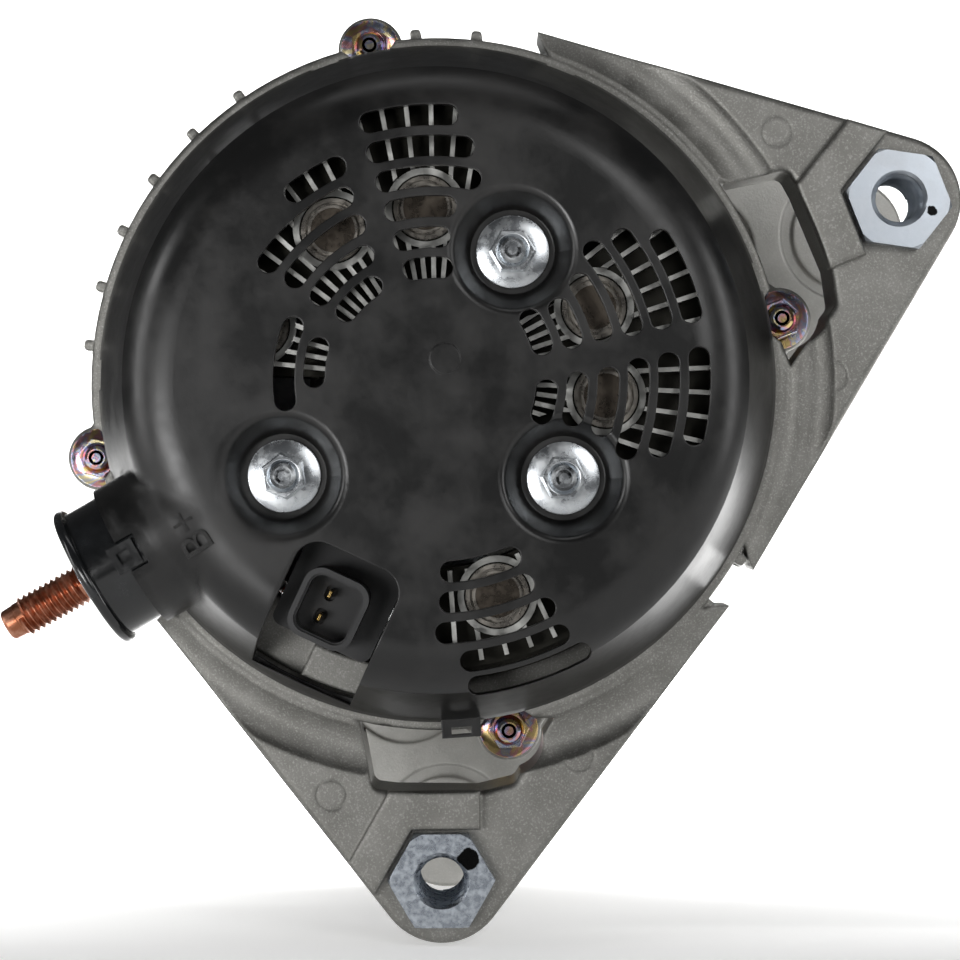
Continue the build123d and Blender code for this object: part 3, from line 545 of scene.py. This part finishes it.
class Bench:
    """Modelling steps on one mesh object, as done by hand."""

    @staticmethod
    def clear() -> None:
        """Leaves edit mode and deselects everything."""
        if bpy.context.object and bpy.context.object.mode != "OBJECT":
            bpy.ops.object.mode_set(mode="OBJECT")
        bpy.ops.object.select_all(action="DESELECT")

    @staticmethod
    def pick(piece: bpy.types.Object) -> None:
        """Makes one object the only selected and the active one."""
        Bench.clear()
        piece.select_set(True)
        bpy.context.view_layer.objects.active = piece

    @staticmethod
    def cylinder(name: str, radius: float, rear: float, front: float, sides: int = 64,
                 top: float | None = None) -> bpy.types.Object:
        """Starts a piece from a cylinder or cone along Y.

        Args:
            name: the piece's name.
            radius: radius at the rear end.
            rear: station of the rear end.
            front: station of the front end.
            sides: number of sides.
            top: radius at the front end, the same when left out.

        Returns:
            The new object, with its place in its mesh.
        """
        Bench.clear()
        bpy.ops.mesh.primitive_cone_add(
            vertices=sides, radius1=radius * MM, radius2=(top or radius) * MM, depth=(front - rear) * MM,
            location=(0, (rear + front) / 2 * MM, 0), rotation=(-QUARTER_TURN, 0, 0),
        )
        piece = bpy.context.object
        piece.name = piece.data.name = name
        Bench.settle(piece)
        return piece

    @staticmethod
    def settle(piece: bpy.types.Object) -> None:
        """Moves an object's place, turn and size into its mesh."""
        Bench.pick(piece)
        bpy.ops.object.transform_apply(location=True, rotation=True, scale=True)

    @staticmethod
    def modify(piece: bpy.types.Object, kind: str, **settings: object) -> None:
        """Adds a modifier and applies it.

        Args:
            piece: the object.
            kind: the modifier's type.
            **settings: its properties.
        """
        Bench.pick(piece)
        modifier = piece.modifiers.new(kind.lower(), kind)
        for name, value in settings.items():
            setattr(modifier, name, value)
        bpy.ops.object.modifier_apply(modifier=modifier.name)

    @staticmethod
    def cut(piece: bpy.types.Object, tool: bpy.types.Object, operation: str = "DIFFERENCE") -> None:
        """Cuts a piece with another object, which is used up.

        Args:
            piece: the object that stays.
            tool: the cutter.
            operation: the boolean's kind.
        """
        Bench.modify(piece, "BOOLEAN", object=tool, operation=operation, solver="EXACT")
        bpy.data.objects.remove(tool)

    @staticmethod
    def soften(piece: bpy.types.Object, width: float, angle: float = 32.0, segments: int = 2) -> None:
        """Bevels the sharp edges and smooths the rest, with the shading led by the larger faces.

        Args:
            piece: the object.
            width: the bevel's width in millimetres.
            angle: edges sharper than this, in degrees, are bevelled.
            segments: steps in each bevel.
        """
        Bench.modify(piece, "BEVEL", width=width * MM, segments=segments, limit_method="ANGLE",
                     angle_limit=math.radians(angle), use_clamp_overlap=True, harden_normals=False)
        Bench.smooth(piece, angle)
        Bench.modify(piece, "WEIGHTED_NORMAL", keep_sharp=True)

    @staticmethod
    def smooth(piece: bpy.types.Object, angle: float) -> None:
        """Smooths the shading over every edge less sharp than an angle in degrees."""
        Bench.pick(piece)
        bpy.ops.object.shade_smooth_by_angle(angle=math.radians(angle))

    @staticmethod
    def heal(piece: bpy.types.Object) -> None:
        """Merges doubled points and turns the faces outwards."""
        Bench.pick(piece)
        bpy.ops.object.mode_set(mode="EDIT")
        bpy.ops.mesh.select_all(action="SELECT")
        bpy.ops.mesh.remove_doubles(threshold=1e-6)
        bpy.ops.mesh.normals_make_consistent(inside=False)
        bpy.ops.object.mode_set(mode="OBJECT")

    @staticmethod
    def place(piece: bpy.types.Object, matrix: Matrix) -> bpy.types.Object:
        """Moves a piece's mesh by a matrix, keeping its object at the origin."""
        piece.data.transform(matrix)
        return piece

    @staticmethod
    def copy(piece: bpy.types.Object, name: str) -> bpy.types.Object:
        """A copy with its own mesh."""
        twin = piece.copy()
        twin.data = piece.data.copy()
        twin.name = twin.data.name = name
        bpy.context.collection.objects.link(twin)
        return twin

    @staticmethod
    def join(name: str, pieces: list[bpy.types.Object]) -> bpy.types.Object:
        """Joins objects into one.

        Args:
            name: the joined piece's name.
            pieces: what is joined, the first one keeping its place.

        Returns:
            The joined object.
        """
        Bench.clear()
        for piece in pieces:
            piece.select_set(True)
        bpy.context.view_layer.objects.active = pieces[0]
        if len(pieces) > 1:
            bpy.ops.object.join()
        joined = bpy.context.object
        joined.name = joined.data.name = name
        return joined

    @staticmethod
    def thread(name: str, crest: float, root: float, pitch: float, rear: float, turns: int,
               sides: int = 40) -> bpy.types.Object:
        """A coiled ridge of triangular section along Y, closed at both ends.

        Args:
            name: the piece's name.
            crest: radius of the ridge's edge.
            root: radius of its foot, larger than the crest for a thread inside a bore.
            pitch: distance from turn to turn.
            rear: station where it starts.
            turns: number of turns.
            sides: steps in each turn.

        Returns:
            The coil.
        """
        half = pitch * RIDGE_SHARE / 2
        Bench.clear()
        bpy.ops.mesh.primitive_circle_add(vertices=3, radius=MM, location=(0, 0, 0))
        coil = bpy.context.object
        coil.name = coil.data.name = name
        corners = ((root, rear - half), (crest, rear), (root, rear + half))
        for vertex, (radius, station) in zip(coil.data.vertices, corners):
            vertex.co = (radius * MM, station * MM, 0)
        Bench.modify(coil, "SCREW", axis="Y", screw_offset=pitch * MM, iterations=turns, steps=sides,
                     render_steps=sides, use_merge_vertices=False)
        Bench.pick(coil)
        bpy.ops.object.mode_set(mode="EDIT")
        bpy.ops.mesh.select_all(action="SELECT")
        bpy.ops.mesh.remove_doubles(threshold=1e-7)
        bpy.ops.mesh.select_all(action="DESELECT")
        bpy.ops.mesh.select_non_manifold()
        bpy.ops.mesh.fill_holes(sides=3)
        bpy.ops.mesh.select_all(action="SELECT")
        bpy.ops.mesh.normals_make_consistent(inside=False)
        bpy.ops.object.mode_set(mode="OBJECT")
        return coil


def turn_to(angle: float) -> Matrix:
    """Turn about the shaft, from +X towards +Z, in degrees."""
    return Matrix.Rotation(math.radians(-angle), 4, "Y")


def shift_to(radius: float, angle: float, station: float = 0.0) -> Matrix:
    """Shift from the shaft to a point at a radius and angle."""
    return Matrix.Translation(metres(polar(radius, angle, station)))


# ---------------------------------------------------------------- the object's pieces


@dataclass
class FlangeNut:
    """Hexagon nut with a round flange and the stud's threaded end standing in it."""

    across: float
    flange_r: float
    face: float
    seat: float
    stud_r: float
    stud_end: float
    pitch: float = 0.8
    face_taper: float = 0.5
    foot_taper: float = 0.4
    chamfer_start: float = 0.35
    chamfer_spread: float = 4.2
    mouth_spread: float = 0.75
    mouth_depth: float = 0.7
    flange_rise: float = 1.9
    skirt_rise: float = 0.8
    tip_taper: float = 0.5
    ridge_depth: float = 0.55

    def build(self, name: str) -> bpy.types.Object:
        """Builds the nut round the Y axis.

        Args:
            name: the piece's name.

        Returns:
            The nut, its flange and the stud's end as one mesh.
        """
        half = self.across * 0.5
        low = (self.across - self.face_taper) / math.sqrt(3)
        high = (self.across + self.foot_taper) / math.sqrt(3)
        hexagon = Bench.cylinder(name, low, self.face, self.seat - 0.6, 6, high)
        tool = Bench.cylinder("corner_cone", half + self.chamfer_start, self.face - OVERSHOOT, self.seat,
                              sides=64, top=half + self.chamfer_spread)
        Bench.cut(hexagon, tool, "INTERSECT")
        mouth = Bench.cylinder("mouth_cone", self.stud_r + self.mouth_spread, self.face - OVERSHOOT,
                               self.face + self.mouth_depth, sides=48, top=self.stud_r + 0.05)
        Bench.cut(hexagon, mouth)
        Bench.soften(hexagon, 0.12)
        flange = Bench.cylinder(name + "_flange", half - 0.2, self.seat - self.flange_rise,
                                self.seat - self.skirt_rise + 0.05, sides=72, top=self.flange_r - 0.05)
        skirt = Bench.cylinder(name + "_skirt", self.flange_r, self.seat - self.skirt_rise, self.seat, 72)
        for ring in (flange, skirt):
            Bench.soften(ring, 0.16, segments=3)
        return Bench.join(name, [hexagon, flange, skirt, *self.stud_tip(name)])

    def stud_tip(self, name: str) -> list[bpy.types.Object]:
        """The end of the stud that shows in the nut's mouth."""
        tip = Bench.cylinder(name + "_tip", self.stud_r - self.tip_taper, self.stud_end,
                             self.face + 1.0, sides=48)
        Bench.soften(tip, 0.4, segments=3)
        dimple = Bench.cylinder("dimple", 1.1, self.stud_end - 0.1, self.stud_end + 0.35, 32, 0.5)
        Bench.cut(tip, dimple)
        turns = max(int((self.face - self.stud_end) / self.pitch), 1)
        ridge = Bench.thread(name + "_ridge", self.stud_r, self.stud_r - self.ridge_depth, self.pitch,
                             self.stud_end + 0.9, turns, sides=32)
        return [tip, ridge]


@dataclass
class CoverHardware:
    """The three nuts that hold the rear cover."""

    places: tuple[tuple[float, float], ...] = ((29.4, 59.1), (35.2, 212.3), (31.6, -37.5))
    turns: tuple[float, ...] = (30.0, 8.0, 27.0)
    nut: FlangeNut = field(default_factory=lambda: FlangeNut(8.0, 7.2, -148.1, -143.2, 2.5, -149.0))

    def build(self, wardrobe: Wardrobe) -> None:
        """Builds and dresses the nuts.

        Args:
            wardrobe: where the finishes come from.
        """
        pattern = self.nut.build("cover_nut_pattern")
        nuts = []
        for k, ((radius, angle), turn) in enumerate(zip(self.places, self.turns)):
            nut = Bench.copy(pattern, f"cover_nut_{k}")
            nuts.append(Bench.place(nut, shift_to(radius, angle) @ turn_to(turn)))
        bpy.data.objects.remove(pattern)
        piece = Bench.join("cover_nuts_plated", nuts)
        finish_piece(piece, "housing", "bright_zinc", wardrobe, "cover_nuts")


@dataclass
class GateMark:
    """Small torn stub left on the cover where the plastic came in."""

    at: tuple[float, float] = (1.9, 4.0)
    face: float = -150.2
    rear_gap: float = 0.02
    radius: float = 0.9
    spread: float = 0.9

    def build(self, wardrobe: Wardrobe) -> None:
        """Builds the stub with its pinhole.

        Args:
            wardrobe: where the finishes come from.
        """
        stub = Bench.cylinder("gate_stub", self.radius, self.face + self.rear_gap, self.face + 0.6,
                              sides=40, top=self.radius + self.spread)
        Bench.cut(stub, Bench.cylinder("pinhole", 0.35, self.face - 0.5, self.face + 0.4, sides=24))
        Bench.soften(stub, 0.08)
        Bench.place(stub, Matrix.Translation(metres((self.at[0], 0, self.at[1]))))
        finish_piece(stub, "housing", "cover_plastic", wardrobe)


@dataclass
class FrameStudNuts:
    """The four flange nuts on the studs that clamp both frames."""

    radius: float = 74.5
    first: float = 101.5
    count: int = 4
    twist: float = 17.0
    nut: FlangeNut = field(default_factory=lambda: FlangeNut(8.0, 6.3, -93.0, -88.0, 2.5, -95.6))

    def build(self, wardrobe: Wardrobe) -> None:
        """Builds and dresses the nuts.

        Args:
            wardrobe: where the finishes come from.
        """
        pattern = self.nut.build("frame_nut_pattern")
        nuts = []
        for k in range(self.count):
            nut = Bench.copy(pattern, f"frame_nut_{k}")
            at = shift_to(self.radius, self.first + 360 / self.count * k)
            nuts.append(Bench.place(nut, at @ turn_to(self.twist * k)))
        bpy.data.objects.remove(pattern)
        piece = Bench.join("frame_nuts_plated", nuts)
        finish_piece(piece, "housing", "yellow_zinc", wardrobe, "frame_stud_nuts")


@dataclass
class SlipNut:
    """Hexagon-headed sleeve with an M10 thread, free to slide in an ear."""

    across: float = 19.0
    face: float = NUT_FACE
    seat: float = -121.5
    sleeve_r: float = 7.5
    sleeve_end: float = -102.5
    thread_r: float = 4.6
    bore_r: float = 5.1
    mouth_r: float = 5.75
    mouth_depth: float = 0.7
    chamfer_start: float = 0.75
    chamfer_end_r: float = 14.0
    lead_in: float = 1.3
    pitch: float = 1.25

    def build(self, side: str, index: int, finish: Finish, wardrobe: Wardrobe) -> None:
        """Builds one slip nut in its ear.

        Args:
            side: "upper" or "lower".
            index: which ear it sits in.
            finish: its plating with the paint dab.
            wardrobe: where the finishes come from.
        """
        name = f"{side}_slip_nut_plated"
        head = Bench.cylinder(name, self.across / math.sqrt(3), self.face, self.seat, 6)
        cone = Bench.cylinder("corner_cone", self.across / 2 + self.chamfer_start, self.face, self.seat,
                              sides=96, top=self.chamfer_end_r)
        Bench.cut(head, cone, "INTERSECT")
        Bench.cut(head, Bench.cylinder("bore", self.bore_r, self.face - 1, self.seat + 1, 64))
        mouth = Bench.cylinder("mouth", self.mouth_r, self.face - OVERSHOOT, self.face + self.mouth_depth,
                               sides=64, top=self.bore_r)
        Bench.cut(head, mouth)
        Bench.soften(head, 0.22, segments=3)
        sleeve = Bench.cylinder(name + "_sleeve", self.sleeve_r, self.seat - 0.5, self.sleeve_end, 72)
        Bench.cut(sleeve, Bench.cylinder("bore", self.bore_r, self.seat - 2, self.sleeve_end + 1, 64))
        Bench.soften(sleeve, 0.3, segments=2)
        turns = int((self.sleeve_end - self.face - 1.6) / self.pitch)
        ridge = Bench.thread(name + "_ridge", self.thread_r, self.bore_r + 0.02, self.pitch,
                             self.face + self.lead_in, turns, sides=48)
        Bench.smooth(ridge, 30)
        piece = Bench.join(name, [head, sleeve, ridge])
        angle = EAR_ANGLES[index]
        Bench.place(piece, shift_to(EAR_REACH, angle) @ turn_to(angle))
        finish_piece(piece, f"{side}_nut", "blue_zinc", wardrobe, f"{side}_slip_nut", finish=finish)


@dataclass
class TerminalStud:
    """Copper-plated M8 stud that stands out of the insulator."""

    angle: float = STUD_ANGLE
    station: float = -135.0
    crest: float = 4.0
    root: float = 3.3
    pitch: float = 1.25
    start: float = 80.6
    thread_end: float = 95.3
    tip: float = 98.55
    tip_r: float = 3.15
    head_r: float = 6.0
    inner_end: float = 55.5
    head_height: float = 4.5
    sides: int = 56

    def build(self, wardrobe: Wardrobe) -> None:
        """Builds the stud along Y and swings it to its place.

        Args:
            wardrobe: where the finishes come from.
        """
        neck = self.inner_end + self.head_height - 0.5
        core = Bench.cylinder("b_plus_stud_threaded", self.root + 0.05, neck, self.thread_end + 0.4,
                              self.sides)
        Bench.soften(core, 0.1)
        head = Bench.cylinder("stud_head", self.head_r, self.inner_end, self.inner_end + self.head_height,
                              self.sides)
        Bench.soften(head, 0.4)
        shank = Bench.cylinder("stud_shank", self.crest - 0.02, neck, self.start - 0.4, self.sides)
        dog = Bench.cylinder("stud_dog", self.tip_r + 0.1, self.thread_end - 0.1, self.tip, self.sides,
                             self.tip_r - 0.05)
        Bench.soften(dog, 0.75, segments=4)
        turns = int((self.thread_end - self.start - 0.6) / self.pitch)
        ridge = Bench.thread("stud_ridge", self.crest, self.root, self.pitch, self.start + 0.5, turns, 48)
        Bench.smooth(ridge, 35)
        piece = Bench.join("b_plus_stud_threaded", [core, head, shank, dog, ridge])
        along = Matrix.Rotation(-QUARTER_TURN, 4, "Z")
        level = Matrix.Translation(metres((0, self.station, 0)))
        Bench.place(piece, level @ turn_to(self.angle) @ along)
        finish_piece(piece, "housing", "copper_plated", wardrobe, "b_plus_stud")


@dataclass
class HairpinWinding:
    """Square copper conductors: straight in the slots, slanting over and back at both ends."""

    slots: int = 48
    core: tuple[float, float] = (-88.0, -50.0)
    layers: tuple[tuple[float, int], ...] = ((56.6, 1), (59.6, -1), (62.4, 1))
    size: float = 2.3
    reach: float = 11.0
    swing: float = 15.0
    stub: float = 3.0
    buried: float = 2.0
    rise: float = 1.2
    lean_share: float = 0.8
    steps: int = 4

    def path(self, radius: float, way: int, end: int) -> list[Point]:
        """Points that one conductor follows out of its slot.

        Args:
            radius: its layer's radius.
            way: which way it slants.
            end: -1 for the rear end, 1 for the front end.

        Returns:
            Points from inside the slot to its tip.
        """
        mouth = self.core[0] if end < 0 else self.core[1]
        lean = self.reach * self.lean_share
        points = [polar(radius, 0, mouth - end * self.buried), polar(radius, 0, mouth + end * self.rise)]
        for k in range(1, self.steps + 1):
            share = k / self.steps
            station = mouth + end * (self.rise + lean * share)
            points.append(polar(radius, way * self.swing * share, station))
        tip = polar(radius, way * self.swing, mouth + end * (self.rise + lean + self.stub))
        return points + [tip]

    def conductor(self, points: list[Point]) -> bpy.types.Object:
        """Extrudes a square section along the points.

        Args:
            points: the conductor's line.

        Returns:
            A closed bar.
        """
        Bench.clear()
        bpy.ops.mesh.primitive_plane_add(size=self.size * MM, location=metres(points[0]),
                                         rotation=(QUARTER_TURN, 0, 0))
        bar = bpy.context.object
        Bench.settle(bar)
        Bench.pick(bar)
        bpy.ops.object.mode_set(mode="EDIT")
        bpy.ops.mesh.select_all(action="SELECT")
        for start, end in zip(points, points[1:]):
            step = metres(end) - metres(start)
            bpy.ops.mesh.extrude_region_move(TRANSFORM_OT_translate={"value": step})
        bpy.ops.mesh.select_all(action="SELECT")
        bpy.ops.mesh.normals_make_consistent(inside=False)
        bpy.ops.object.mode_set(mode="OBJECT")
        return bar

    def build(self, wardrobe: Wardrobe) -> None:
        """Builds every conductor end as one piece.

        Args:
            wardrobe: where the finishes come from.
        """
        bars = []
        for end in (-1, 1):
            for radius, way in self.layers:
                pattern = self.conductor(self.path(radius, way, end))
                Bench.soften(pattern, 0.35, segments=2)
                for k in range(self.slots):
                    bar = Bench.copy(pattern, "bar")
                    bars.append(Bench.place(bar, turn_to(360 / self.slots * k)))
                bpy.data.objects.remove(pattern)
        piece = Bench.join("hairpin_winding", bars)
        finish_piece(piece, "housing", "enamelled_copper", wardrobe, "stator_winding")


@dataclass
class BrushSprings:
    """Coil springs behind the two brushes, each built at one length."""

    stations: tuple[tuple[str, float], ...] = (("outer", -135.5), ("inner", -126.5))
    radius: float = 1.65
    wire: float = 0.22
    low: float = -31.2
    high: float = -19.4
    turns: int = 8
    steps: int = 20
    seat: float = -31.4
    travel: float = 4.0

    def build(self, wardrobe: Wardrobe) -> None:
        """Builds a coil for each brush.

        Args:
            wardrobe: where the finishes come from.
        """
        for side, station in self.stations:
            Bench.clear()
            bpy.ops.mesh.primitive_circle_add(vertices=8, radius=self.wire * MM, fill_type="NGON",
                                              location=(self.radius * MM, 0, 0),
                                              rotation=(QUARTER_TURN, 0, 0))
            coil = bpy.context.object
            Bench.settle(coil)
            pitch = (self.high - self.low - 2 * self.wire) / self.turns
            Bench.modify(coil, "SCREW", axis="Z", screw_offset=pitch * MM, iterations=self.turns,
                         steps=self.steps, render_steps=self.steps, use_merge_vertices=False)
            Bench.heal(coil)
            Bench.smooth(coil, 60)
            Bench.place(coil, Matrix.Translation(metres((0, station, self.low + self.wire))))
            coil.name = coil.data.name = f"{side}_spring_coil"
            finish_piece(coil, "housing", "spring_steel", wardrobe, f"{side}_brush_spring")
            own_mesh(coil)


@dataclass
class PolarityMark:
    """Raised B+ on the cover beside the terminal, a plain polarity mark."""

    radius: float = 56.0
    angle: float = -148.0
    reading: float = 121.0
    station: float = -149.85
    height: float = 8.5
    relief: float = 0.34

    def build(self, wardrobe: Wardrobe) -> None:
        """Builds the mark from plain letters, their tops outwards.

        Args:
            wardrobe: where the finishes come from.
        """
        Bench.clear()
        bpy.ops.object.text_add(location=(0, 0, 0))
        text = bpy.context.object
        text.data.body = "B+"
        text.data.size = self.height * MM
        text.data.align_x, text.data.align_y = "CENTER", "CENTER"
        text.data.extrude = self.relief * MM
        Bench.pick(text)
        bpy.ops.object.convert(target="MESH")
        piece = bpy.context.object
        piece.name = piece.data.name = "polarity_mark"
        stand = Matrix.Rotation(QUARTER_TURN, 4, "X")
        at = shift_to(self.radius, self.angle, self.station)
        Bench.place(piece, at @ turn_to(self.reading) @ stand)
        Bench.heal(piece)
        finish_piece(piece, "housing", "cover_plastic", wardrobe)


def finish_piece(piece: bpy.types.Object, body: str, slot: str, wardrobe: Wardrobe, *nodes: str,
                 finish: Finish | None = None) -> None:
    """Dresses a finished piece, rides it and hides the CAD nodes that it stands for.

    Args:
        piece: the new piece.
        body: the CAD body that it moves with.
        slot: the record's material slot.
        wardrobe: where the finishes come from.
        *nodes: CAD nodes that it replaces.
        finish: its surface, the slot's own when left out.
    """
    wardrobe.dress(piece, finish or FINISHES[slot])
    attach(piece, body)
    if nodes:
        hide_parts(*nodes)
    log.info("built %s: %d faces", piece.name, len(piece.data.polygons))


# ---------------------------------------------------------------- studio


@dataclass
class Studio:
    """Pale sweep, soft lights and the camera; the sweep's own sizes are in metres."""

    floor_z: float = -115.0
    camera_at: Point = (8.7, -725.0, -19.6)
    focal_px: float = 2958.0
    frame_px: float = 960.0
    sensor_mm: float = 36.0
    width: float = 1.3
    run: float = 1.9
    front_edge: float = 0.5
    curve_r: float = 0.5
    curve_steps: int = 12
    wall: float = 0.4
    glow: float = 0.4
    surround: float = 0.07

    def sweep(self) -> None:
        """Floor that curves up into a backdrop."""
        Bench.clear()
        bpy.ops.mesh.primitive_plane_add(size=1.0, location=(0, 0, self.floor_z * MM))
        bpy.ops.transform.resize(value=(self.width, self.run, 1))
        floor = bpy.context.object
        floor.name = floor.data.name = "studio_sweep"
        floor.location.y = self.run / 2 - self.front_edge
        Bench.settle(floor)
        Bench.pick(floor)
        bpy.ops.object.mode_set(mode="EDIT")
        bpy.ops.mesh.select_all(action="DESELECT")
        mesh = bmesh.from_edit_mesh(floor.data)
        for edge in mesh.edges:
            if all(v.co.y > self.run / 2 for v in edge.verts):
                edge.select_set(True)
        bmesh.update_edit_mesh(floor.data)
        turn = QUARTER_TURN / self.curve_steps
        for k in range(self.curve_steps):
            slope = turn * (k + 0.5)
            step = Vector((0, math.cos(slope), math.sin(slope))) * self.curve_r * turn
            bpy.ops.mesh.extrude_region_move(TRANSFORM_OT_translate={"value": step})
        bpy.ops.mesh.extrude_region_move(TRANSFORM_OT_translate={"value": (0, 0, self.wall)})
        bpy.ops.object.mode_set(mode="OBJECT")
        Bench.heal(floor)
        Bench.pick(floor)
        bpy.ops.object.shade_smooth()
        material = bpy.data.materials.new("paper_white_matt")
        material.use_nodes = True
        shader = material.node_tree.nodes["Principled BSDF"]
        shader.inputs["Base Color"].default_value = linear("f4f4f3")
        shader.inputs["Roughness"].default_value = 0.9
        shader.inputs["Emission Color"].default_value = linear("ffffff")
        shader.inputs["Emission Strength"].default_value = self.glow
        floor.data.materials.append(material)

    def softbox(self, name: str, at: Point, aim: Point, size: tuple[float, float], power: float) -> None:
        """One rectangular soft light.

        Args:
            name: the light's name.
            at: where it stands, in millimetres.
            aim: what it faces.
            size: its width and height in millimetres.
            power: watts.
        """
        data = bpy.data.lights.new(name, "AREA")
        data.shape = "RECTANGLE"
        data.size, data.size_y = size[0] * MM, size[1] * MM
        data.energy = power
        light = bpy.data.objects.new(name, data)
        light.location = metres(at)
        light.rotation_euler = (metres(aim) - metres(at)).to_track_quat("-Z", "Y").to_euler()
        bpy.context.collection.objects.link(light)

    def lights(self) -> None:
        """Two side strips, two front boxes, one overhead, a wash on the backdrop, a dim surround."""
        middle = (0.0, -100.0, 0.0)
        self.softbox("left_strip", (-900, -430, 60), middle, (200, 800), 3.0)
        self.softbox("right_strip", (900, -430, 60), middle, (200, 800), 2.4)
        self.softbox("low_front_box", (-380, -800, -200), middle, (380, 380), 5.6)
        self.softbox("high_front_box", (330, -820, 220), middle, (320, 320), 1.4)
        self.softbox("top_box", (0, -350, 900), middle, (700, 200), 0.8)
        self.softbox("backdrop_wash", (0, 120, 520), (0, 1400, 0), (1000, 260), 55)
        world = bpy.data.worlds.new("surround")
        world.use_nodes = True
        background = world.node_tree.nodes["Background"]
        background.inputs["Color"].default_value = linear("f7f8fa")
        background.inputs["Strength"].default_value = self.surround
        bpy.context.scene.world = world

    def camera(self) -> None:
        """Camera square to the covered end, at the framing's distance."""
        data = bpy.data.cameras.new("camera")
        data.sensor_width = self.sensor_mm
        data.lens = self.focal_px / self.frame_px * self.sensor_mm
        data.clip_start, data.clip_end = 0.05, 20.0
        camera = bpy.data.objects.new("camera", data)
        camera.location = metres(self.camera_at)
        camera.rotation_euler = (QUARTER_TURN, 0, 0)
        bpy.context.collection.objects.link(camera)
        bpy.context.scene.camera = camera

    def build(self) -> None:
        """Sets up the whole studio."""
        self.sweep()
        self.lights()
        self.camera()
        bpy.context.scene.view_settings.view_transform = "Standard"


def main() -> None:
    """Builds the studio and every piece."""
    logging.basicConfig(level=logging.INFO)
    Studio().build()
    wardrobe = Wardrobe()
    wardrobe.dress_frame()
    CoverHardware().build(wardrobe)
    FrameStudNuts().build(wardrobe)
    SlipNut().build("upper", 0, UPPER_NUT_FINISH, wardrobe)
    SlipNut().build("lower", 1, LOWER_NUT_FINISH, wardrobe)
    TerminalStud().build(wardrobe)
    HairpinWinding().build(wardrobe)
    BrushSprings().build(wardrobe)
    PolarityMark().build(wardrobe)
    GateMark().build(wardrobe)


if __name__ == "__main__":
    main()
